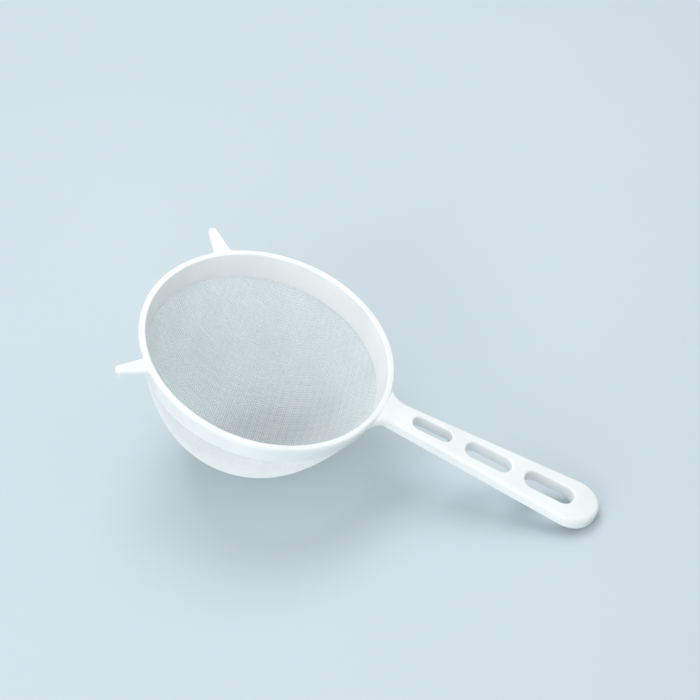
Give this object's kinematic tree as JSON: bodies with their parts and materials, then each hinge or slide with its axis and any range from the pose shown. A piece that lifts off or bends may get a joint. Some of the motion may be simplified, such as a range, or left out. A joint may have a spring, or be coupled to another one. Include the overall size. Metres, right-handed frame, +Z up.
{
  "type": "double net strainer",
  "caption": "Round double-net strainer with a moulded rim, a long slotted handle and rest lugs with hooked pegs.",
  "frame": {"origin": "on the table under the middle of the strainer's outline, as it stands on the foot of its net and the end of its handle", "axes": "+X from the bowl towards the end of the handle, +Z up from the table, +Y across to the left lug"},
  "size_m": [0.3564, 0.2, 0.142],
  "materials": {
    "white_plastic": "satin white moulded polypropylene",
    "inner_cloth": "woven single-thread plastic cloth, heat-set into a bowl",
    "outer_cloth": "finer woven single-thread plastic cloth, heat-set into a bowl"
  },
  "bodies": {
    "root": {"rim_hoop": "white_plastic", "handle": "white_plastic", "lug_left": "white_plastic", "lug_right": "white_plastic", "hook_left": "white_plastic", "hook_right": "white_plastic", "inner_net": "inner_cloth", "outer_net": "outer_cloth"}
  },
  "joints": []
}
